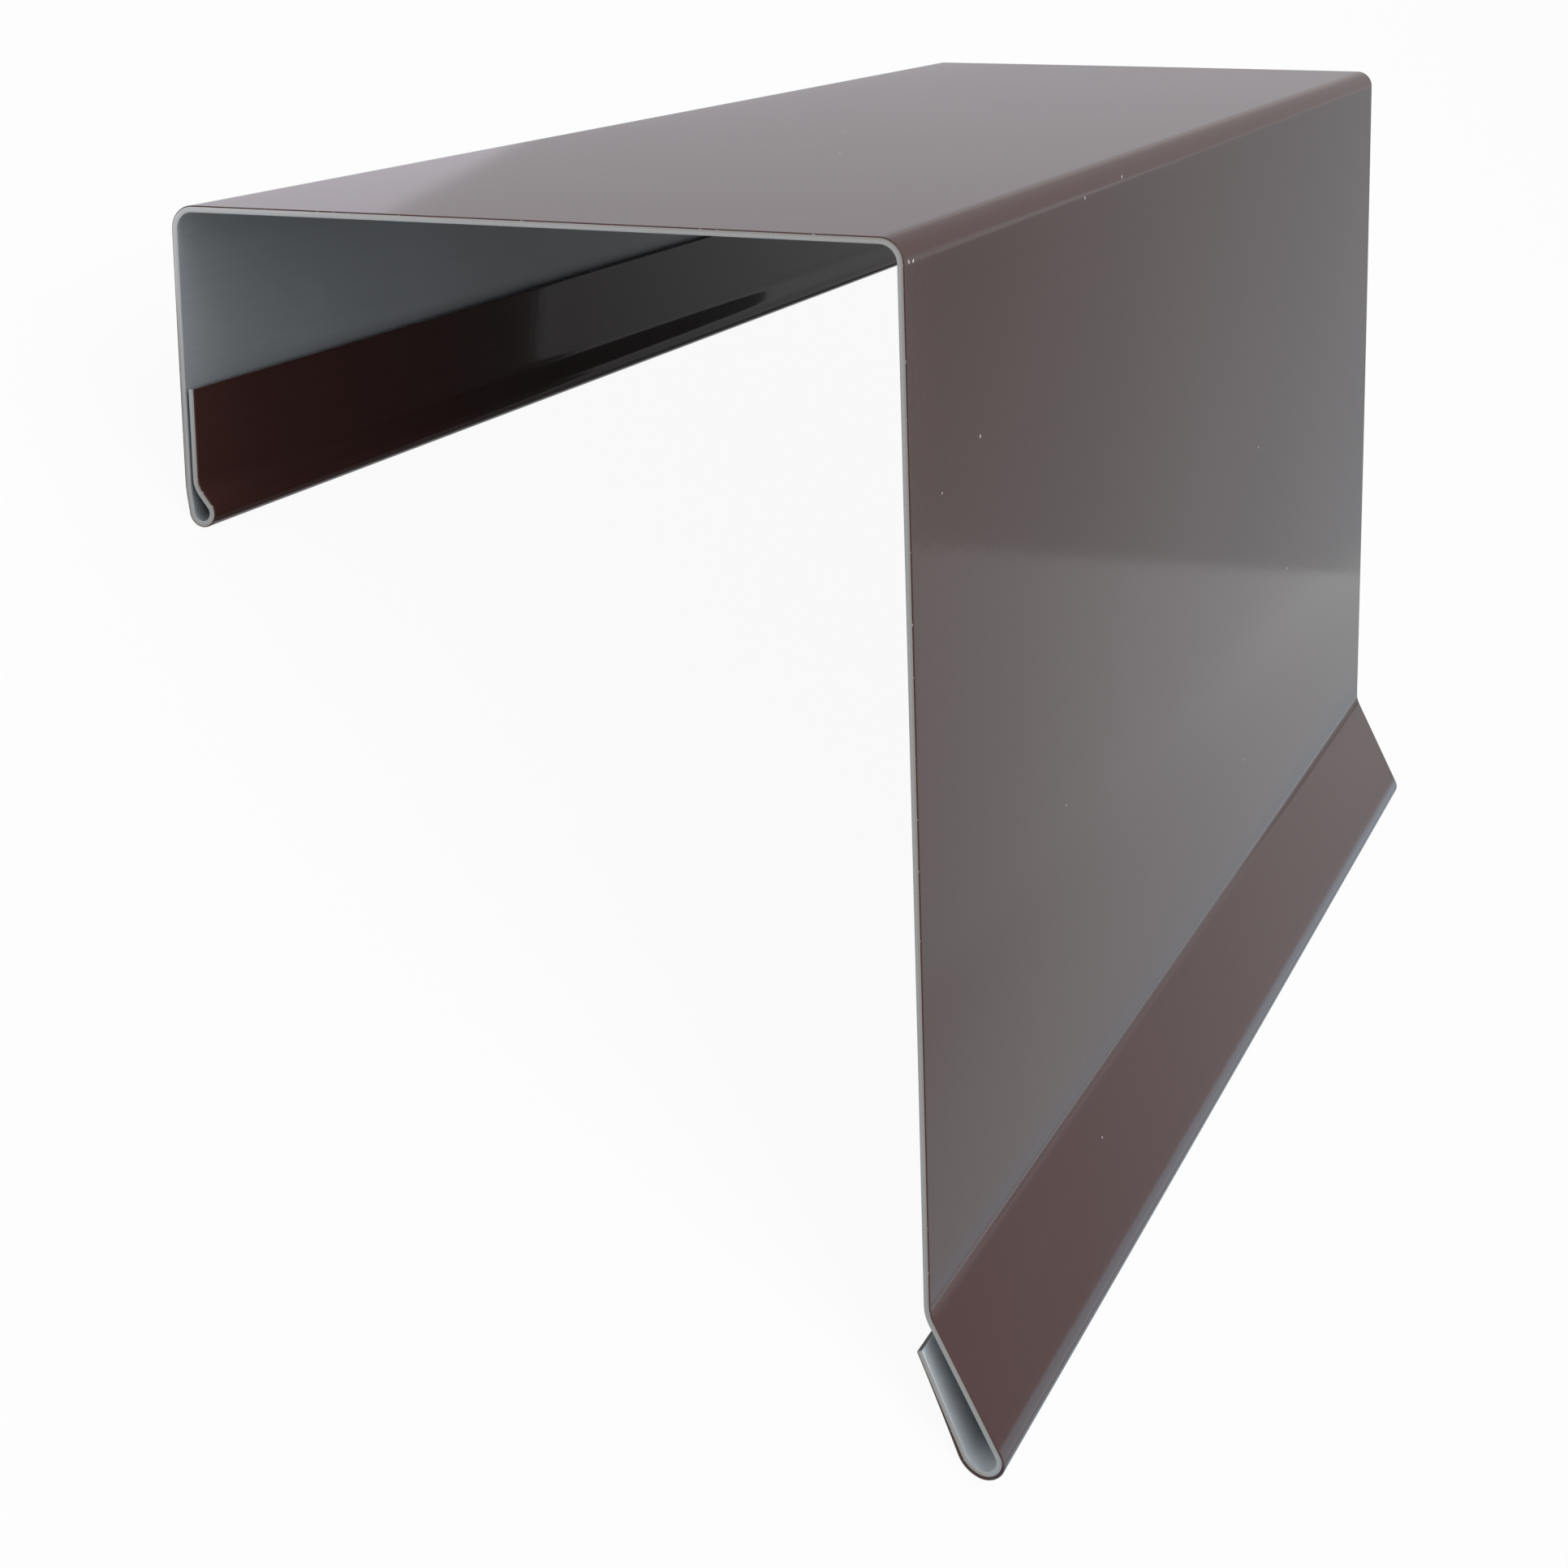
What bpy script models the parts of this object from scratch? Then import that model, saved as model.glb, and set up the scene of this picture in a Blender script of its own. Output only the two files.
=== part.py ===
"""Verge flashing: a short length of pre-painted steel sheet, folded to a capping section with two hems.

Metres, +Z up, the section's length along Y. It lies as it rests on a level floor: on its two
hems, with the painted face up, like a tent.
"""
import math

import bpy
import bmesh
from mathutils import Matrix, Vector

# The sheet
LENGTH = 0.2475
THICKNESS = 0.0007

# The section, measured over the painted face between the corners where its flats would meet.
# The back leg and the kick are measured from their corner to the round end of their hem.
TOP_FLANGE = 0.080
FRONT_LEG = 0.112
BACK_LEG = 0.0339
KICK = 0.0194
FRONT_CORNER = math.radians(92.2)
BACK_CORNER = math.radians(91.1)
KICK_OUT = math.radians(25.9)

# Inside radii of the section's three folds
CORNER_RADIUS = 0.00185
KICK_RADIUS = 0.0045

# The back leg's closed hem: the leg sets in a little, rounds the bulb, and the return runs in
# to the leg and then up along it. The return is measured from the bulb's round end.
SET_IN = math.radians(7.5)
SET_IN_RADIUS = 0.012
SET_IN_FLAT = 0.0019
BULB_RADIUS = 0.0009
RUN_IN = math.radians(38.5)
RUN_IN_RADIUS = 0.0020
BULB_RETURN = 0.0148
HEM_GAP = 0.0003

# The kick's open hem: a tight nose, a wider belly, and a return that leans towards the kick.
# The return is measured from the nose.
NOSE_RADIUS = 0.0014
NOSE_TURN = math.radians(139)
BELLY_RADIUS = 0.0031
RETURN_LEAN = math.radians(5.2)
KICK_RETURN = 0.0161

# The largest turn of one facet of a fold
FACET = math.radians(12)

PAINT_COLOR = (0.052, 0.021, 0.018, 1.0)
PAINT_ROUGHNESS = 0.32

# Radii of the folds' middle line
BULB_LINE = BULB_RADIUS + THICKNESS / 2
RUN_IN_LINE = RUN_IN_RADIUS + THICKNESS / 2
SET_IN_LINE = SET_IN_RADIUS + THICKNESS / 2
NOSE_LINE = NOSE_RADIUS + THICKNESS / 2
BELLY_LINE = BELLY_RADIUS + THICKNESS / 2


class SheetLine:
    """The middle line of the folded sheet, walked flat by flat and fold by fold."""

    def __init__(self):
        self.points = [Vector((0.0, 0.0))]
        self.heading = 0.0

    def direction(self, turned=0.0):
        angle = self.heading + turned
        return Vector((math.cos(angle), math.sin(angle)))

    def flat(self, length):
        self.points.append(self.points[-1] + length * self.direction())

    def fold(self, angle, inside_radius):
        """Turn by an angle, to the left where it is positive, and give the fold's centre."""
        radius = inside_radius + THICKNESS / 2
        side = math.copysign(math.pi / 2, angle)
        centre = self.points[-1] + radius * self.direction(side)
        facets = max(3, math.ceil(abs(angle) / FACET))
        for _ in range(facets):
            self.heading += angle / facets
            self.points.append(centre - radius * self.direction(side))
        return centre


def setback(fold_angle, face_radius):
    """How far a fold's flat ends short of the corner where the faces would meet."""
    return face_radius * math.tan(fold_angle / 2)


def run_in_flat():
    """The straight between the bulb and the bend that lays the return along the leg."""
    set_in = SET_IN_LINE * (1 - math.cos(SET_IN)) + SET_IN_FLAT * math.sin(SET_IN)
    bulb = BULB_LINE * (math.cos(SET_IN) + math.cos(RUN_IN))
    bend = RUN_IN_LINE * (1 - math.cos(RUN_IN))
    return (set_in + bulb - bend - THICKNESS - HEM_GAP) / math.sin(RUN_IN)


def bulb_return_flat():
    """The straight end of the bulb's return, which lies along the leg."""
    curved = (BULB_LINE + RUN_IN_LINE) * math.sin(RUN_IN)
    straight = run_in_flat() * math.cos(RUN_IN)
    return BULB_RETURN - BULB_RADIUS - THICKNESS - curved - straight


def back_leg_flat(corner_setback):
    """The straight of the back leg, from its corner's fold to where it sets in."""
    bulb_centre = BACK_LEG - BULB_RADIUS - THICKNESS
    set_in = (SET_IN_LINE - BULB_LINE) * math.sin(SET_IN) + SET_IN_FLAT * math.cos(SET_IN)
    return bulb_centre - set_in - corner_setback


def kick_return_flat():
    """The straight end of the kick's return."""
    belly_start = (NOSE_LINE - BELLY_LINE) * math.sin(NOSE_TURN)
    curved = NOSE_RADIUS + THICKNESS - belly_start + BELLY_LINE * math.sin(RETURN_LEAN)
    return (KICK_RETURN - curved) / math.cos(RETURN_LEAN)


def fold_section():
    """The sheet's middle line, and the centres of the bulb and the belly, which it rests on."""
    face_radius = CORNER_RADIUS + THICKNESS
    back_fold = math.pi - BACK_CORNER
    front_fold = math.pi - FRONT_CORNER
    back_setback = setback(back_fold, face_radius)
    front_setback = setback(front_fold, face_radius)
    kick_setback = setback(KICK_OUT, KICK_RADIUS)
    line = SheetLine()
    line.flat(bulb_return_flat())
    line.fold(RUN_IN, RUN_IN_RADIUS)
    line.flat(run_in_flat())
    bulb = line.fold(SET_IN - math.pi - RUN_IN, BULB_RADIUS)
    line.flat(SET_IN_FLAT)
    line.fold(-SET_IN, SET_IN_RADIUS)
    line.flat(back_leg_flat(back_setback))
    line.fold(-back_fold, CORNER_RADIUS)
    line.flat(TOP_FLANGE - back_setback - front_setback)
    line.fold(-front_fold, CORNER_RADIUS)
    line.flat(FRONT_LEG - front_setback - kick_setback)
    line.fold(KICK_OUT, KICK_RADIUS)
    line.flat(KICK - kick_setback - NOSE_RADIUS - THICKNESS)
    line.fold(-NOSE_TURN, NOSE_RADIUS)
    belly = line.fold(NOSE_TURN - math.pi - RETURN_LEAN, BELLY_RADIUS)
    line.flat(kick_return_flat())
    return line.points, bulb, belly


def rested(points, bulb, belly):
    """Turn the section so that the bulb and the belly both stand on the floor."""
    base = belly - bulb
    taller = (BELLY_RADIUS - BULB_RADIUS) / base.length
    turn = Matrix.Rotation(math.asin(taller) - math.atan2(base.y, base.x), 2)
    return [turn @ point for point in points]


def sheet_mesh(name, points):
    """The middle line drawn along the length, as an open strip of quads."""
    bm = bmesh.new()
    verts = [bm.verts.new((point.x, -LENGTH / 2, point.y)) for point in points]
    edges = [bm.edges.new(pair) for pair in zip(verts, verts[1:])]
    drawn = bmesh.ops.extrude_edge_only(bm, edges=edges)
    moved = [item for item in drawn["geom"] if isinstance(item, bmesh.types.BMVert)]
    bmesh.ops.translate(bm, vec=(0, LENGTH, 0), verts=moved)
    mesh = bpy.data.meshes.new(name)
    bm.to_mesh(mesh)
    bm.free()
    return mesh


def paint_material():
    material = bpy.data.materials.new("brown_paint")
    material.use_nodes = True
    shader = material.node_tree.nodes["Principled BSDF"]
    shader.inputs["Base Color"].default_value = PAINT_COLOR
    shader.inputs["Roughness"].default_value = PAINT_ROUGHNESS
    shader.inputs["Metallic"].default_value = 0.0
    return material


def evaluated_bounds(flashing):
    """The lowest and highest corners of the object with its modifiers."""
    shape = flashing.evaluated_get(bpy.context.evaluated_depsgraph_get())
    corners = [vertex.co for vertex in shape.data.vertices]
    low = Vector([min(corner[axis] for corner in corners) for axis in range(3)])
    high = Vector([max(corner[axis] for corner in corners) for axis in range(3)])
    return low, high


def verge_flashing():
    """The folded sheet, its thickness on both sides of the middle line, standing on the floor."""
    mesh = sheet_mesh("verge_flashing", rested(*fold_section()))
    flashing = bpy.data.objects.new("verge_flashing", mesh)
    bpy.context.scene.collection.objects.link(flashing)
    solidify = flashing.modifiers.new("thickness", "SOLIDIFY")
    solidify.thickness = THICKNESS
    solidify.offset = 0
    solidify.use_even_offset = True
    solidify.use_quality_normals = True
    mesh.materials.append(paint_material())
    mesh.shade_smooth()
    mesh.set_sharp_from_angle(angle=math.radians(30))
    low, high = evaluated_bounds(flashing)
    flashing.location = (-(low.x + high.x) / 2, 0, -low.z)


def main():
    for thing in list(bpy.data.objects):
        bpy.data.objects.remove(thing)
    verge_flashing()


main()
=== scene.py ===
"""The looks of a verge flashing: brown coil paint outside, a grey backing coat inside, bright cut edges.

The sheet is built again, finer than the CAD node, from the same section sizes. Metres, +Z up.
"""
import math
from typing import NamedTuple

import bpy
from mathutils import Euler, Matrix, Vector, noise

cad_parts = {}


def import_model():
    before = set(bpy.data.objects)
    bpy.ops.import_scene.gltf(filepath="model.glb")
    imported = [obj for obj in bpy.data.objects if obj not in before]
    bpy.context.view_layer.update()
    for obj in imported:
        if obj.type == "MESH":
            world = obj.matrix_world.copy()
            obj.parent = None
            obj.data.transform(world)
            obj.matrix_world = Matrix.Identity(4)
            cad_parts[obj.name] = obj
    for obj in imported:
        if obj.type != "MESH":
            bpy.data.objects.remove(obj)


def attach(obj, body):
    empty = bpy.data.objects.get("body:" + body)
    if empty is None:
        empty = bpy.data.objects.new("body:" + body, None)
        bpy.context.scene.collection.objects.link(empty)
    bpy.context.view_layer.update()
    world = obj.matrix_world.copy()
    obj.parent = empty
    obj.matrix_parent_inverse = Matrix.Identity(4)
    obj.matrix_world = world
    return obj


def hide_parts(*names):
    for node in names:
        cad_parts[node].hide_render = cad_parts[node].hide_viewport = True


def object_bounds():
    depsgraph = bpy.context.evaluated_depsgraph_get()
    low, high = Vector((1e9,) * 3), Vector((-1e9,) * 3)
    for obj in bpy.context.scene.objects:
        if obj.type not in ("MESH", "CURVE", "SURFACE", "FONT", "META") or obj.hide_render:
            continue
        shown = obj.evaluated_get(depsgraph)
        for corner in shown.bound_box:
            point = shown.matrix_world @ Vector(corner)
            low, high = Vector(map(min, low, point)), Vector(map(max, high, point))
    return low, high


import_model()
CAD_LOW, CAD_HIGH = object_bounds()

NODE = "verge_flashing"

# The sheet and its section, as in the CAD source
LENGTH = 0.2475
THICKNESS = 0.0007
TOP_FLANGE = 0.080
FRONT_LEG = 0.112
BACK_LEG = 0.0339
FRONT_CORNER = math.radians(92.2)
BACK_CORNER = math.radians(91.1)
KICK_OUT = math.radians(25.9)
CORNER_RADIUS = 0.00185
KICK_RADIUS = 0.0045
SET_IN = math.radians(7.5)
SET_IN_RADIUS = 0.012
SET_IN_FLAT = 0.0019
BULB_RADIUS = 0.0009
RUN_IN = math.radians(38.5)
RUN_IN_RADIUS = 0.0020
BULB_RETURN = 0.0148
HEM_GAP = 0.0003
NOSE_TURN = math.radians(139)
BULB_LINE = BULB_RADIUS + THICKNESS / 2
RUN_IN_LINE = RUN_IN_RADIUS + THICKNESS / 2
SET_IN_LINE = SET_IN_RADIUS + THICKNESS / 2


class Hem(NamedTuple):
    """A form of the kick's hem: the kick's length, the inside radii of its nose and its belly, and
    the return's lean and length."""
    kick: float
    nose: float
    belly: float
    lean: float
    back: float


# The CAD source's hem is the mean of one that tapers a little. The near cut squeezes it in.
CAD_HEM = Hem(0.0194, 0.0014, 0.0031, math.radians(5.2), 0.0161)
NEAR_HEM = Hem(0.0197, 0.0015, 0.0033, math.radians(6.2), 0.0163)
FAR_HEM = Hem(0.0191, 0.00125, 0.0030, math.radians(3.9), 0.0158)
CUT_HEM = Hem(0.0192, 0.00125, 0.0030, math.radians(3.9), 0.0158)
SQUEEZE_DEPTH = 0.0005
SQUEEZE_STEPS = 4

# Fineness of the mesh. A narrow strip at each end of a flat keeps a fold's shading off it.
FOLD_STEP = math.radians(5)
BELLY_STEPS = 10
FLAT_STEP = 0.0025
LENGTH_STEP = 0.0040
GUARD = 0.0003

# The shear draws the paint round the cut, and leaves a small break on the primed side
ROLLOVER_IN = 0.00014
ROLLOVER_DROP = 0.00012
ROLLOVER_STEPS = 5
BREAK_IN = 0.00004
BREAK_DROP = 0.00005
BREAK_STEPS = 2
BURNISHED = 0.00022

# The flats bow a little between the folds, as pressed sheet does
BOW = 0.00006
BOW_WAVE = 0.11

# The camera, in the section's own frame: from the corner of the back leg and the top flange,
# X along the top flange, Z away from the legs
CAMERA_PLACE = (0.16518, -0.24827, 0.03190)
CAMERA_TURN = (71.947, 0.128, 21.352)
CAMERA_LENS = 63.8
SENSOR = 36.0

# Colours
PAINT_DEEP = (0.048, 0.019, 0.016)
PAINT_WORN = (0.056, 0.023, 0.020)
BACKING_DEEP = (0.255, 0.275, 0.298)
BACKING_PALE = (0.315, 0.335, 0.36)
# Painted light: the pale colour given to the backing coat in the kick's hem by the near cut
BACKING_PAINTED_LIGHT = (0.80, 0.855, 0.90)
CUT_BURNISHED = (0.27, 0.26, 0.25)
CUT_TORN = (0.315, 0.318, 0.315)
DUST = (0.55, 0.53, 0.50)
SOOT = (0.012, 0.010, 0.009)

# Grains of dust and soot on the outer faces: metres from the face's corner, and from the near end
DUST_ON_FRONT = (
    (0.0027, 0.0631),
    (0.0020, 0.0797),
    (0.0227, 0.0225),
    (0.0024, 0.0014),
    (0.0025, 0.0027),
)
DUST_ON_TOP = ((0.0452, 0.0773),)
SOOT_ON_FRONT = ((0.0808, 0.0500),)
SOOT_ON_TOP = ((0.0233, 0.0441), (0.0066, 0.1172))
DUST_RADIUS = 0.00017
SOOT_RADIUS = 0.00017

# Painted light: the backing coat in the kick's hem is painted pale where light enters its mouth, fully
# near the cut, and less and less further in
PAINTED_LIGHT_FULL = 0.0008
PAINTED_LIGHT_END = 0.011

# Shares of the clouds, the streaks and the grain in the unevenness of a coat
CLOUD_SHARE = 0.45
STREAK_SHARE = 0.25
GRAIN_SHARE = 0.30

# The paint's gloss. Its weight is low, because what it mirrors is a plain white studio.
GLOSS_WEIGHT = 0.44
GLOSS_ROUGHNESS = 0.08
GLOSS_IOR = 1.5

# The studio. The floor lies just under the near end's hem, which is fuller than the CAD source's.
FLOOR_SIZE = 12
FLOOR_HEIGHT = -0.0003
FLOOR_WHITE = 0.55
FLOOR_GLOW = 0.945
ROOM = 0.20

# The lamps, with their places, sizes and radiances, and the spot that they all face
LAMPS = (
    ("overhead", (0.05, 0.10, 1.5), 1.6, 3.3),
    ("near_fill", (0.55, -1.30, 1.25), 1.0, 2.6),
    ("left_fill", (-1.05, -1.20, 0.65), 0.8, 2.6),
)
LAMP_AIM = (0.0, 0.0, 0.03)

# The cards that reflections see: the limits of their glow, how far along Y the upright ones stand,
# and at which heights the others lie. Those that lie close to the floor are kept apart.
GLOW_LEAST = 0.2
GLOW_MOST = 2.4
WALL_DEPTH = 3.0
FAR_OPENING = 0.1245
UNDER_PART = 0.0005
ON_FLOOR = 0.0006
BY_NOSE = 0.0008
ON_GROUND = 0.0012
ON_PATCH = 0.0018
OVER_NOSE = 0.0118


def guarded_stops(length, step):
    """Stops from 0 to length, a guard strip at each end and even steps between."""
    inner = length - 2 * GUARD
    count = max(1, math.ceil(inner / step))
    return [0.0] + [GUARD + inner * k / count for k in range(count + 1)] + [length]


class SheetLine:
    """The sheet's middle line: at each point its place, its heading and its share of the bow."""

    def __init__(self):
        self.points = [Vector((0.0, 0.0))]
        self.headings = [0.0]
        self.bows = [0.0]
        self.normals = []
        self.corners = {}
        self.hem_start = 0

    def direction(self, turned=0.0):
        angle = self.headings[-1] + turned
        return Vector((math.cos(angle), math.sin(angle)))

    def flat(self, length):
        start = self.points[-1]
        for stop in guarded_stops(length, FLAT_STEP)[1:]:
            self.points.append(start + stop * self.direction())
            self.headings.append(self.headings[-1])
            self.bows.append(math.sin(math.pi * stop / length) * length / FRONT_LEG)

    def mark_corner(self, face, back):
        """Notes the sharp corner that the next face starts from, so far back on its painted side."""
        painted = self.points[-1] + self.direction(math.pi / 2) * THICKNESS / 2
        self.corners[face] = (len(self.points) - 1, back, painted - back * self.direction())

    def fold(self, angle, inside_radius, steps=0):
        """Turns by an angle and gives the fold's centre. Without steps, it takes small ones."""
        radius = inside_radius + THICKNESS / 2
        side = math.copysign(math.pi / 2, angle)
        centre = self.points[-1] + radius * self.direction(side)
        steps = steps or max(3, math.ceil(abs(angle) / FOLD_STEP))
        for _ in range(steps):
            self.headings.append(self.headings[-1] + angle / steps)
            self.points.append(centre - radius * self.direction(side))
            self.bows.append(0.0)
        return centre

    def place(self, turn, shift):
        """Turns and shifts the line to where it rests, and gives it its normals."""
        matrix = Matrix.Rotation(turn, 2)
        self.points = [matrix @ point + shift for point in self.points]
        self.headings = [heading + turn for heading in self.headings]
        self.normals = [Vector((-math.sin(h), math.cos(h))) for h in self.headings]
        for face, (start, back, corner) in self.corners.items():
            self.corners[face] = (start, back, matrix @ corner + shift)


def setback(fold_angle, face_radius):
    """How far a fold's flat ends short of the corner where the faces would meet."""
    return face_radius * math.tan(fold_angle / 2)


def run_in_flat():
    """The straight between the bulb and the bend that lays the return along the leg."""
    set_in = SET_IN_LINE * (1 - math.cos(SET_IN)) + SET_IN_FLAT * math.sin(SET_IN)
    bulb = BULB_LINE * (math.cos(SET_IN) + math.cos(RUN_IN))
    bend = RUN_IN_LINE * (1 - math.cos(RUN_IN))
    return (set_in + bulb - bend - THICKNESS - HEM_GAP) / math.sin(RUN_IN)


def bulb_return_flat():
    """The straight end of the bulb's return, which lies along the leg."""
    curved = (BULB_LINE + RUN_IN_LINE) * math.sin(RUN_IN)
    straight = run_in_flat() * math.cos(RUN_IN)
    return BULB_RETURN - BULB_RADIUS - THICKNESS - curved - straight


def back_leg_flat(corner_setback):
    """The straight of the back leg, from its corner's fold to where it sets in."""
    bulb_centre = BACK_LEG - BULB_RADIUS - THICKNESS
    set_in = (SET_IN_LINE - BULB_LINE) * math.sin(SET_IN) + SET_IN_FLAT * math.cos(SET_IN)
    return bulb_centre - set_in - corner_setback


def kick_return_flat(hem):
    """The straight end of the kick's return."""
    belly_start = (hem.nose - hem.belly) * math.sin(NOSE_TURN)
    belly_line = hem.belly + THICKNESS / 2
    curved = hem.nose + THICKNESS - belly_start + belly_line * math.sin(hem.lean)
    return (hem.back - curved) / math.cos(hem.lean)


def fold_section(hem):
    """The sheet's middle line with one form of the kick's hem, and the two centres it rests on."""
    face_radius = CORNER_RADIUS + THICKNESS
    back_fold = math.pi - BACK_CORNER
    front_fold = math.pi - FRONT_CORNER
    back_setback = setback(back_fold, face_radius)
    front_setback = setback(front_fold, face_radius)
    kick_setback = setback(KICK_OUT, KICK_RADIUS)
    line = SheetLine()
    line.flat(bulb_return_flat())
    line.fold(RUN_IN, RUN_IN_RADIUS)
    line.flat(run_in_flat())
    bulb = line.fold(SET_IN - math.pi - RUN_IN, BULB_RADIUS)
    line.flat(SET_IN_FLAT)
    line.fold(-SET_IN, SET_IN_RADIUS)
    line.flat(back_leg_flat(back_setback))
    line.fold(-back_fold, CORNER_RADIUS)
    line.mark_corner("top", back_setback)
    line.flat(TOP_FLANGE - back_setback - front_setback)
    line.fold(-front_fold, CORNER_RADIUS)
    line.mark_corner("front", front_setback)
    line.flat(FRONT_LEG - front_setback - kick_setback)
    line.fold(KICK_OUT, KICK_RADIUS)
    line.flat(hem.kick - kick_setback - hem.nose - THICKNESS)
    line.hem_start = len(line.points) - 1
    line.fold(-NOSE_TURN, hem.nose)
    belly = line.fold(NOSE_TURN - math.pi - hem.lean, hem.belly, BELLY_STEPS)
    line.flat(kick_return_flat(hem))
    return line, bulb, belly


def rest_place():
    """The turn and the shift that bring the CAD section's middle line to where the node rests."""
    line, bulb, belly = fold_section(CAD_HEM)
    base = belly - bulb
    taller = (CAD_HEM.belly - BULB_RADIUS) / base.length
    turn = math.asin(taller) - math.atan2(base.y, base.x)
    line.place(turn, Vector((0.0, 0.0)))
    half = THICKNESS / 2
    faces = [p + side * half * n for p, n in zip(line.points, line.normals) for side in (1, -1)]
    low_x = min(face.x for face in faces)
    high_x = max(face.x for face in faces)
    low_z = min(face.y for face in faces)
    middle = (CAD_LOW.x + CAD_HIGH.x) / 2
    return turn, Vector((middle - (low_x + high_x) / 2, CAD_LOW.z - low_z))


def resting_line(hem, place):
    line, _, _ = fold_section(hem)
    line.place(*place)
    return line


def section_frame(line):
    """The section's own frame: its origin at the back corner, X along the top flange."""
    start, _, corner = line.corners["top"]
    upright = Matrix.Rotation(-line.headings[start], 4, "Y")
    return Matrix.Translation((corner.x, -LENGTH / 2, corner.y)) @ upright


REST_PLACE = rest_place()
LINE = resting_line(NEAR_HEM, REST_PLACE)
FAR_LINE = resting_line(FAR_HEM, REST_PLACE)
CUT_LINE = resting_line(CUT_HEM, REST_PLACE)
SECTION_FRAME = section_frame(LINE)


def distances_along(points):
    """How far along the line each of its points lies."""
    run = [0.0]
    for a, b in zip(points, points[1:]):
        run.append(run[-1] + (b - a).length)
    return run


def stops_along():
    """Stops from the near end to the far one, close together where the near cut squeezes the hem."""
    close = [GUARD + (SQUEEZE_DEPTH - GUARD) * k / SQUEEZE_STEPS for k in range(SQUEEZE_STEPS)]
    even = guarded_stops(LENGTH - SQUEEZE_DEPTH, LENGTH_STEP)
    return [0.0] + close + [SQUEEZE_DEPTH + stop for stop in even]


AROUND = distances_along(LINE.points)
ALONG = stops_along()
WIDTH = AROUND[-1]


def point_and_normal(row, y):
    """The middle line at a distance along the sheet: it tapers to the far end, and the near cut
    squeezes it."""
    taper = (y / LENGTH) ** 1.5
    squeeze = max(0.0, 1.0 - y / SQUEEZE_DEPTH) ** 2
    point = LINE.points[row].lerp(FAR_LINE.points[row], taper).lerp(CUT_LINE.points[row], squeeze)
    normal = LINE.normals[row].lerp(CUT_LINE.normals[row], squeeze)
    return point, normal.normalized()


def rim_profile():
    """From the painted skin's edge to the primed skin's: how far in from the cut, and how far
    over the sheet's middle."""
    half = THICKNESS / 2
    rim = []
    for step in range(ROLLOVER_STEPS + 1):
        angle = math.pi / 2 * step / ROLLOVER_STEPS
        height = half - ROLLOVER_DROP * (1 - math.cos(angle))
        rim.append((ROLLOVER_IN * (1 - math.sin(angle)), height))
    rim.append((0.0, half - ROLLOVER_DROP - BURNISHED))
    for step in range(BREAK_STEPS + 1):
        angle = math.pi / 2 * step / BREAK_STEPS
        height = BREAK_DROP * (1 - math.sin(angle)) - half
        rim.append((BREAK_IN * (1 - math.cos(angle)), height))
    return rim


def clamped(value, inset, whole):
    """A value kept so far in from both ends of the whole."""
    return min(max(value, inset), whole - inset)


class SheetMesh:
    """One closed mesh: the painted skin, the primed skin, and the cut rim all round."""

    def __init__(self):
        self.verts = []
        self.places = []
        self.faces = []
        self.slots = []

    def vertex(self, row, column, inset, height):
        s = clamped(AROUND[row], inset, WIDTH)
        y = clamped(ALONG[column], inset, LENGTH)
        point, normal = point_and_normal(row, y)
        tangent = Vector((normal.y, -normal.x))
        wave = 1 + noise.noise(Vector((AROUND[row] / BOW_WAVE, ALONG[column] / BOW_WAVE, 0.0)))
        lift = height + BOW * wave * LINE.bows[row]
        point = point + (s - AROUND[row]) * tangent + lift * normal
        self.verts.append((point.x, y - LENGTH / 2, point.y))
        self.places.append((s, y, height))
        return len(self.verts) - 1

    def skin(self, inset, height):
        """Rows of vertices over the whole sheet, kept so far in from its edges."""
        columns = range(len(ALONG))
        return [[self.vertex(r, c, inset, height) for c in columns] for r in range(len(AROUND))]

    def strip(self, upper, lower, slot, closed):
        """A strip of faces between two rows of vertices."""
        count = len(upper)
        for k in range(count if closed else count - 1):
            n = (k + 1) % count
            self.faces.append((upper[n], lower[n], lower[k], upper[k]))
            self.slots.append(slot)

    def border(self):
        """The rows and columns of the vertices all round the sheet's edge."""
        rows = len(AROUND)
        columns = len(ALONG)
        path = [(r, 0) for r in range(rows)]
        path += [(rows - 1, c) for c in range(1, columns)]
        path += [(r, columns - 1) for r in range(rows - 2, -1, -1)]
        path += [(0, c) for c in range(columns - 2, 0, -1)]
        return path

    def build(self):
        rim = rim_profile()
        painted = self.skin(*rim[0])
        primed = self.skin(*rim[-1])
        for upper, lower in zip(painted, painted[1:]):
            self.strip(upper, lower, 0, False)
        for upper, lower in zip(primed, primed[1:]):
            self.strip(lower, upper, 1, False)
        border = self.border()
        rings = [[painted[r][c] for r, c in border]]
        for inset, height in rim[1:-1]:
            rings.append([self.vertex(r, c, inset, height) for r, c in border])
        rings.append([primed[r][c] for r, c in border])
        slots = [0] * ROLLOVER_STEPS + [2, 2] + [1] * BREAK_STEPS
        for upper, lower, slot in zip(rings, rings[1:], slots):
            self.strip(upper, lower, slot, True)
        mesh = bpy.data.meshes.new("folded_sheet")
        mesh.from_pydata(self.verts, [], self.faces)
        mesh.polygons.foreach_set("material_index", self.slots)
        place = mesh.attributes.new("sheet_place", "FLOAT_VECTOR", "POINT")
        place.data.foreach_set("vector", [number for spot in self.places for number in spot])
        mesh.update()
        mesh.shade_smooth()
        mesh.set_sharp_from_angle(angle=math.radians(30))
        return mesh


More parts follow.
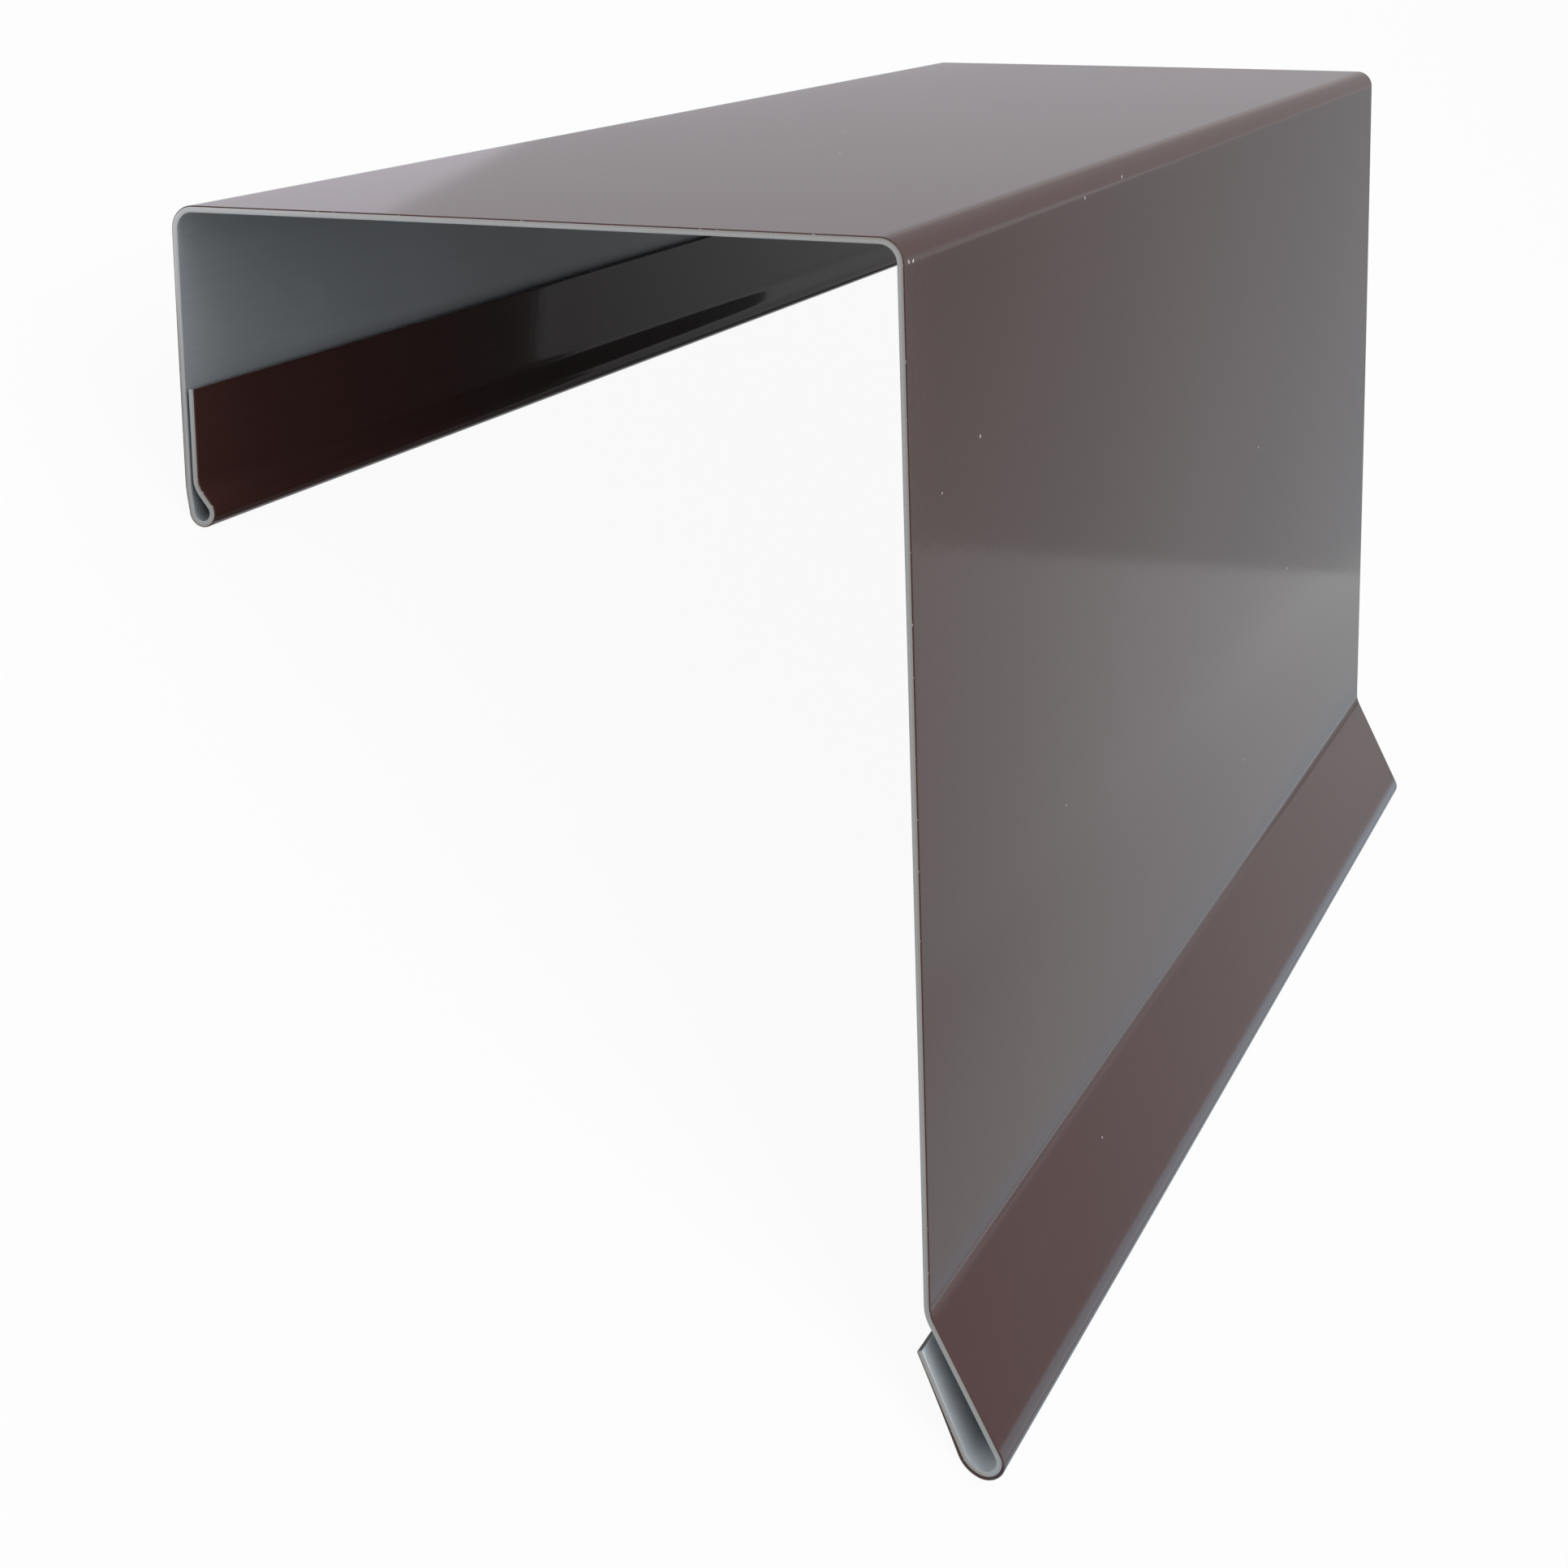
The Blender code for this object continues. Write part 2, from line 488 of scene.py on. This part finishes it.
class Tree:
    """Short calls for a node tree."""

    def __init__(self, owner):
        owner.use_nodes = True
        self.nodes = owner.node_tree.nodes
        self.links = owner.node_tree.links

    def feed(self, socket, source):
        if isinstance(source, bpy.types.NodeSocket):
            self.links.new(source, socket)
        else:
            socket.default_value = source

    def add(self, kind, inputs=None, **settings):
        node = self.nodes.new("ShaderNode" + kind)
        for name, value in settings.items():
            setattr(node, name, value)
        for name, source in (inputs or {}).items():
            self.feed(node.inputs[name], source)
        return node

    def math(self, operation, *values):
        node = self.add("Math", operation=operation)
        for socket, value in zip(node.inputs, values):
            self.feed(socket, value)
        return node.outputs[0]

    def place(self):
        """The spot on the flat sheet: metres round the section, metres along, height in the edge."""
        return self.add("Attribute", attribute_name="sheet_place").outputs["Vector"]

    def scaled(self, vector, scale, shift=(0.0, 0.0, 0.0)):
        node = self.add("VectorMath", operation="MULTIPLY_ADD")
        for socket, value in zip(node.inputs, (vector, scale, shift)):
            self.feed(socket, value)
        return node.outputs[0]

    def noise(self, vector, scale, detail=2.0, shift=(0.0, 0.0, 0.0)):
        """Noise over the sheet, with so many waves a metre round the section and along it."""
        spot = self.scaled(vector, (*scale, 0.0), shift)
        inputs = {"Vector": spot, "Scale": 1.0, "Detail": detail}
        return self.add("TexNoise", inputs, noise_dimensions="2D").outputs["Fac"]

    def remap(self, value, low, high, to_low=0.0, to_high=1.0):
        inputs = {"Value": value, "From Min": low, "From Max": high, "To Min": to_low, "To Max": to_high}
        return self.add("MapRange", inputs).outputs["Result"]

    def blend(self, share, a, b):
        """Colour a where the share is 0, and b where it is 1."""
        node = self.add("Mix", data_type="RGBA")
        self.feed(node.inputs[0], share)
        for socket, color in ((node.inputs[6], a), (node.inputs[7], b)):
            self.feed(socket, color if isinstance(color, bpy.types.NodeSocket) else (*color, 1.0))
        return node.outputs[2]

    def mottle(self, cloud, streak, grain):
        """The unevenness of a coat."""
        mixed = self.math("MULTIPLY", cloud, CLOUD_SHARE)
        mixed = self.math("MULTIPLY_ADD", streak, STREAK_SHARE, mixed)
        return self.math("MULTIPLY_ADD", grain, GRAIN_SHARE, mixed)

    def grains(self, vector, spots, radius):
        """A mask of ragged grains at chosen spots of the flat sheet."""
        ragged = self.remap(self.noise(vector, (5200, 5200), 1.0), 0.3, 0.7, 0.5 * radius, 1.5 * radius)
        mask = 0.0
        for s, y in spots:
            gap = self.add("VectorMath", operation="DISTANCE")
            self.feed(gap.inputs[0], self.scaled(vector, (1.0, 1.0, 0.0)))
            self.feed(gap.inputs[1], (s, y, 0.0))
            mask = self.math("MAXIMUM", mask, self.math("LESS_THAN", gap.outputs["Value"], ragged))
        return mask

    def specks(self, vector, cell, share, radius, shift):
        """A mask of a few small round specks: a share of the cells holds one each."""
        spot = self.scaled(vector, (1 / cell, 1 / cell, 0.0), shift)
        cells = self.add("TexVoronoi", {"Vector": spot, "Scale": 1.0}, voronoi_dimensions="2D")
        draw = self.add("SeparateColor", {"Color": cells.outputs["Color"]})
        chosen = self.math("LESS_THAN", draw.outputs["Red"], share)
        size = self.remap(draw.outputs["Green"], 0.0, 1.0, 0.4 * radius / cell, radius / cell)
        ragged = self.remap(self.noise(vector, (6000, 6000), 1.0), 0.3, 0.7, 0.6, 1.4)
        near = self.math("LESS_THAN", cells.outputs["Distance"], self.math("MULTIPLY", size, ragged))
        return self.math("MULTIPLY", near, chosen)

    def edge_distance(self, vector):
        """How far a spot lies from the nearest cut edge of the sheet."""
        axes = self.add("SeparateXYZ", {"Vector": vector})
        nearest = []
        for axis, whole in (("X", WIDTH), ("Y", LENGTH)):
            start = axes.outputs[axis]
            nearest.append(self.math("MINIMUM", start, self.math("SUBTRACT", whole, start)))
        return self.math("MINIMUM", *nearest)

    def bump(self, height, depth, normal=None):
        inputs = {"Height": height, "Distance": depth, "Strength": 1.0}
        if normal is not None:
            inputs["Normal"] = normal
        return self.add("Bump", inputs).outputs["Normal"]


def new_material(name):
    material = bpy.data.materials.new(name)
    tree = Tree(material)
    return material, tree, tree.nodes["Principled BSDF"]


def spots_on(face, places):
    """Places on a face as spots of the flat sheet."""
    start, back, _ = LINE.corners[face]
    return [(AROUND[start] - back + across, along) for across, along in places]


def brown_paint():
    """Coil paint: brown, satin, with a faint orange peel, roller streaks, dust and chips at the cut."""
    material, tree, shader = new_material("brown_paint")
    place = tree.place()
    cloud = tree.remap(tree.noise(place, (22, 14), 3.0), 0.35, 0.65)
    streak = tree.remap(tree.noise(place, (900, 7), 2.0), 0.3, 0.7)
    grain = tree.remap(tree.noise(place, (3500, 3500), 1.0), 0.25, 0.75)
    color = tree.blend(tree.mottle(cloud, streak, grain), PAINT_DEEP, PAINT_WORN)
    dusty = spots_on("front", DUST_ON_FRONT) + spots_on("top", DUST_ON_TOP)
    sooty = spots_on("front", SOOT_ON_FRONT) + spots_on("top", SOOT_ON_TOP)
    dust = tree.grains(place, dusty, DUST_RADIUS)
    dust = tree.math("MAXIMUM", dust, tree.specks(place, 0.023, 0.04, 0.00016, (0.37, 0.12, 0.0)))
    soot = tree.grains(place, sooty, SOOT_RADIUS)
    color = tree.blend(soot, color, SOOT)
    color = tree.blend(dust, color, DUST)
    reach = tree.remap(tree.noise(place, (1100, 1100), 3.0), 0.66, 0.85, 0.0, 0.00014)
    chip = tree.math("LESS_THAN", tree.edge_distance(place), reach)
    color = tree.blend(chip, color, CUT_TORN)
    tree.feed(shader.inputs["Base Color"], color)
    rough = tree.remap(cloud, 0.0, 1.0, 0.42, 0.50)
    tree.feed(shader.inputs["Roughness"], tree.math("MAXIMUM", rough, tree.math("MULTIPLY", dust, 0.8)))
    shader.inputs["Specular IOR Level"].default_value = 0.0
    shader.inputs["Coat Weight"].default_value = GLOSS_WEIGHT
    shader.inputs["Coat Roughness"].default_value = GLOSS_ROUGHNESS
    shader.inputs["Coat IOR"].default_value = GLOSS_IOR
    peel = tree.bump(tree.noise(place, (650, 650), 1.0), 0.0000030)
    specked = tree.bump(tree.math("SUBTRACT", dust, chip), 0.00003, peel)
    tree.feed(shader.inputs["Normal"], specked)
    tree.feed(shader.inputs["Coat Normal"], specked)
    return material


def hem_mouth_painted_light(tree, place):
    """A mask of painted light: the kick's hem by the near cut, where the backing coat is painted pale as
    if lit through the hem's mouth.
    """
    axes = tree.add("SeparateXYZ", {"Vector": place})
    start = AROUND[LINE.hem_start]
    in_hem = tree.remap(axes.outputs["X"], start - 0.001, start + 0.001)
    return tree.math("MULTIPLY", in_hem, tree.remap(axes.outputs["Y"], PAINTED_LIGHT_FULL, PAINTED_LIGHT_END, 1.0, 0.0))


def grey_backing():
    """The thin grey backing coat: matt, streaked along the coil, a little cloudy."""
    material, tree, shader = new_material("grey_backing")
    place = tree.place()
    cloud = tree.remap(tree.noise(place, (45, 30), 4.0), 0.35, 0.65)
    streak = tree.remap(tree.noise(place, (1300, 12), 3.0), 0.3, 0.7)
    grain = tree.remap(tree.noise(place, (2800, 2800), 2.0), 0.25, 0.75)
    mottle = tree.mottle(cloud, streak, grain)
    color = tree.blend(mottle, BACKING_DEEP, BACKING_PALE)
    # Painted light: the backing coat is painted paler in the kick's hem by the near cut, fading further
    # in
    color = tree.blend(hem_mouth_painted_light(tree, place), color, BACKING_PAINTED_LIGHT)
    specks = tree.specks(place, 0.009, 0.20, 0.00022, (1.9, 7.3, 0.0))
    color = tree.blend(tree.math("MULTIPLY", specks, 0.7), color, SOOT)
    tree.feed(shader.inputs["Base Color"], color)
    tree.feed(shader.inputs["Roughness"], tree.remap(mottle, 0.0, 1.0, 0.40, 0.52))
    tree.feed(shader.inputs["Normal"], tree.bump(tree.noise(place, (1500, 220), 2.0), 0.0000025))
    return material


def cut_steel():
    """The sheared edge: a smooth burnished band under the paint, and a torn band below it."""
    material, tree, shader = new_material("cut_steel")
    place = tree.place()
    axes = tree.add("SeparateXYZ", {"Vector": place})
    run = tree.math("ADD", axes.outputs["X"], axes.outputs["Y"])
    across = tree.math("MULTIPLY", axes.outputs["Z"], 900.0)
    scored = tree.add("CombineXYZ", {"X": tree.math("MULTIPLY", run, 4200.0), "Y": across})
    lines = tree.add("TexNoise", {"Vector": scored.outputs[0], "Scale": 1.0, "Detail": 2.0})
    middle = THICKNESS / 2 - ROLLOVER_DROP - BURNISHED
    wander = tree.remap(lines.outputs["Fac"], 0.3, 0.7, -0.00005, 0.00005)
    height = tree.math("ADD", axes.outputs["Z"], wander)
    torn = tree.remap(height, middle + 0.00003, middle - 0.00003)
    color = tree.blend(torn, CUT_BURNISHED, CUT_TORN)
    dark = tree.math("MULTIPLY", tree.remap(lines.outputs["Fac"], 0.55, 0.8), torn)
    color = tree.blend(tree.math("MULTIPLY", dark, 0.5), color, (0.20, 0.20, 0.20))
    tree.feed(shader.inputs["Base Color"], color)
    tree.feed(shader.inputs["Roughness"], tree.remap(torn, 0.0, 1.0, 0.34, 0.58))
    shader.inputs["Metallic"].default_value = 1.0
    tree.feed(shader.inputs["Normal"], tree.bump(lines.outputs["Fac"], 0.000012))
    return material


def flashing():
    """The dressed sheet, in place of the CAD node."""
    mesh = SheetMesh().build()
    for material in (brown_paint(), grey_backing(), cut_steel()):
        mesh.materials.append(material)
    sheet = bpy.data.objects.new("folded_sheet", mesh)
    bpy.context.scene.collection.objects.link(sheet)
    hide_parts(NODE)
    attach(sheet, "root")
    return sheet


def shows_background(tree):
    """One on the rays that should see the white background: camera, glossy and transmission rays."""
    path = tree.add("LightPath").outputs
    mirrored = tree.math("MAXIMUM", path["Is Glossy Ray"], path["Is Transmission Ray"])
    return tree.math("MAXIMUM", path["Is Camera Ray"], mirrored)


def floor():
    bpy.ops.mesh.primitive_plane_add(size=FLOOR_SIZE, location=(0.0, 0.0, FLOOR_HEIGHT))
    plane = bpy.context.object
    plane.name = "floor"
    material = bpy.data.materials.new("pale_floor")
    tree = Tree(material)
    tree.nodes.clear()
    output = tree.add("OutputMaterial")
    matt = tree.add("BsdfDiffuse", {"Color": (FLOOR_WHITE, FLOOR_WHITE, FLOOR_WHITE, 1.0)})
    glow = tree.add("Emission", {"Color": (1.0, 1.0, 1.0, 1.0), "Strength": 1.0})
    mix = tree.add("MixShader", {"Fac": tree.math("MULTIPLY", shows_background(tree), FLOOR_GLOW)})
    tree.feed(mix.inputs[1], matt.outputs[0])
    tree.feed(mix.inputs[2], glow.outputs[0])
    tree.feed(output.inputs["Surface"], mix.outputs[0])
    plane.data.materials.append(material)


def world():
    sky = bpy.data.worlds.new("studio")
    bpy.context.scene.world = sky
    tree = Tree(sky)
    tree.nodes.clear()
    output = tree.add("OutputWorld")
    room = tree.add("Background", {"Color": (ROOM, ROOM, ROOM, 1.0)})
    white = tree.add("Background", {"Color": (1.0, 1.0, 1.0, 1.0), "Strength": 1.0})
    mix = tree.add("MixShader", {"Fac": shows_background(tree)})
    tree.feed(mix.inputs[1], room.outputs[0])
    tree.feed(mix.inputs[2], white.outputs[0])
    tree.feed(output.inputs["Surface"], mix.outputs[0])


def reflector(name, corners, tint, level, rise=(0.0, 0.0, 0.0), one_sided=False):
    """A flat card whose glow only reflections see: a level at the origin, and its rise a metre.
    A one-sided card is clear from behind, like an area lamp."""
    mesh = bpy.data.meshes.new(name)
    mesh.from_pydata(corners, [], [tuple(range(len(corners)))])
    card = bpy.data.objects.new(name, mesh)
    bpy.context.scene.collection.objects.link(card)
    material = bpy.data.materials.new(name)
    tree = Tree(material)
    tree.nodes.clear()
    slope = tree.add("VectorMath", operation="DOT_PRODUCT")
    tree.feed(slope.inputs[0], tree.add("TexCoord").outputs["Object"])
    tree.feed(slope.inputs[1], rise)
    strength = tree.math("ADD", slope.outputs["Value"], level)
    strength = tree.math("MAXIMUM", tree.math("MINIMUM", strength, GLOW_MOST), GLOW_LEAST)
    surface = tree.add("Emission", {"Color": (*tint, 1.0), "Strength": strength}).outputs[0]
    if one_sided:
        mix = tree.add("MixShader", {"Fac": tree.add("NewGeometry").outputs["Backfacing"]})
        tree.feed(mix.inputs[1], surface)
        tree.feed(mix.inputs[2], tree.add("BsdfTransparent").outputs[0])
        surface = mix.outputs[0]
    tree.feed(tree.add("OutputMaterial").inputs["Surface"], surface)
    mesh.materials.append(material)
    card.visible_camera = False
    card.visible_diffuse = False
    card.visible_shadow = False
    card.visible_transmission = False


def upright(depth, *corners):
    """Corners of an upright card, so far along the part's length, each given as (x, z)."""
    return [(x, depth, z) for x, z in corners]


def lying(height, *corners):
    """Corners of a card that lies at a height, each given as (x, y)."""
    return [(x, y, height) for x, y in corners]


def lying_strip(height, low, high):
    """Corners of a lying card with sides along X and Y."""
    return lying(height, low, (high[0], low[1]), high, (low[0], high[1]))


def wall_reflectors(shade, bright):
    """The room behind the part: a shaded part with a sloping crest, and a bright one beside it."""
    corner = (0.918, 0.0)
    notch = (1.26, 0.425)
    ledge = (1.002, 0.655)
    crest = [(0.98, 0.675), (0.765, 0.56), (0.65, 0.494)]
    left_crest = [(0.52, 0.42), (0.30, 0.36), (0.0, 0.30)]
    shaded = upright(WALL_DEPTH, (0.0, 0.0), corner, notch, *crest, *left_crest)
    upper = [(-1.5, 0.38), (0.30, 0.42), (0.48, 0.49), (0.65, 0.55), (0.65, 2.5), (-1.5, 2.5)]
    lit = upright(WALL_DEPTH, corner, (1.9, 0.0), (1.9, 0.655), ledge, notch)
    sky = [ledge, (1.9, 0.655), (2.4, 1.0), (2.4, 1.6), (0.65, 1.6), *reversed(crest)]
    reflector("shaded_wall", shaded, shade, 1.08, (-0.11, 0.0, -0.56))
    reflector("upper_wall", upright(WALL_DEPTH, *upper), (0.97, 1.0, 1.03), 0.85)
    reflector("bright_wall", lit, bright, 1.77, (-0.41, 0.0, -0.47))
    reflector("sky_wall", upright(WALL_DEPTH, *sky), (0.94, 1.0, 1.04), 1.47, (0.0, 0.0, -0.46))


def ground_reflectors(shade, bright):
    """The ground between the part and the walls, and the ground on the left with its bright patch."""
    foot = (0.918, WALL_DEPTH)
    bend = (0.378, 1.266)
    shaded = lying(ON_FLOOR, (0.0, 1.266), bend, foot, (0.0, WALL_DEPTH))
    lit = [(0.10, -0.10), (1.9, -0.10), (1.9, WALL_DEPTH), foot, bend, (0.10, 1.266)]
    patch = [(-0.22, -0.30), (-0.09, -0.30), (-0.09, 0.075), (-0.11, 0.0243), (-0.119, 0.001)]
    patch.append((-0.22, -0.135))
    left = lying_strip(ON_FLOOR, (-1.2, -0.35), (-0.085, 2.0))
    strip = lying_strip(ON_PATCH, (-0.106, -0.2), (-0.079, 0.6))
    reflector("shaded_ground", shaded, shade, 1.0)
    reflector("bright_ground", lying(ON_FLOOR, *lit), bright, 1.22, (-1.29, 0.59, 0.0))
    reflector("left_ground", left, (0.99, 0.99, 1.04), 1.0)
    reflector("left_patch", lying(ON_GROUND, *patch), (1.0, 0.98, 1.07), 1.5)
    reflector("left_strip", strip, (0.95, 1.0, 1.06), 2.0)


def close_reflectors():
    """The kick's nose mirrors a bright strip and a card over it, which is clear from above. The
    back leg's hem mirrors the channel's far opening and the shade under the part."""
    bluish = (0.78, 1.0, 1.15)
    plain = (1.0, 1.0, 1.0)
    strip = lying_strip(BY_NOSE, (0.0785, -0.2), (0.12, 0.3))
    card = lying(OVER_NOSE, (0.0855, 0.3), (0.15, 0.3), (0.15, -0.2), (0.0855, -0.2))
    opening = [(-0.0775, 0.0225), (-0.0252, 0.0795), (0.058, 0.009), (0.064, 0.0006), (-0.054, 0.0006)]
    under = lying_strip(UNDER_PART, (-0.052, -0.12), (0.066, 0.124))
    reflector("nose_ground", strip, bluish, 1.15)
    reflector("nose_card", card, bluish, 2.77, (-8.5, 0.0, 0.0), one_sided=True)
    reflector("far_flag", upright(FAR_OPENING, *opening), plain, 0.51, (-4.7, 0.0, 0.0))
    reflector("under_shade", under, plain, 0.2)


def reflectors():
    """What the gloss mirrors."""
    shade = (0.86, 1.0, 1.05)
    bright = (0.90, 1.0, 1.035)
    wall_reflectors(shade, bright)
    ground_reflectors(shade, bright)
    close_reflectors()


def softbox(name, place, aim, size, radiance):
    """A square lamp that faces its aim. Its power gives every lamp of one radiance the same glow."""
    data = bpy.data.lights.new(name, "AREA")
    data.size = size
    data.energy = math.pi * size * size * radiance
    lamp = bpy.data.objects.new(name, data)
    bpy.context.scene.collection.objects.link(lamp)
    heading = Vector(aim) - Vector(place)
    turn = heading.to_track_quat("-Z", "Y")
    lamp.matrix_world = Matrix.LocRotScale(Vector(place), turn, None)
    return lamp


def lamps():
    for name, place, size, radiance in LAMPS:
        softbox(name, place, LAMP_AIM, size, radiance)


def camera():
    data = bpy.data.cameras.new("camera")
    data.lens = CAMERA_LENS
    data.sensor_width = SENSOR
    data.clip_start = 0.01
    eye = bpy.data.objects.new("camera", data)
    bpy.context.scene.collection.objects.link(eye)
    turn = Euler([math.radians(angle) for angle in CAMERA_TURN])
    eye.matrix_world = SECTION_FRAME @ Matrix.LocRotScale(Vector(CAMERA_PLACE), turn, None)
    bpy.context.scene.camera = eye


flashing()
floor()
world()
lamps()
reflectors()
camera()
bpy.context.scene.view_settings.view_transform = "Standard"
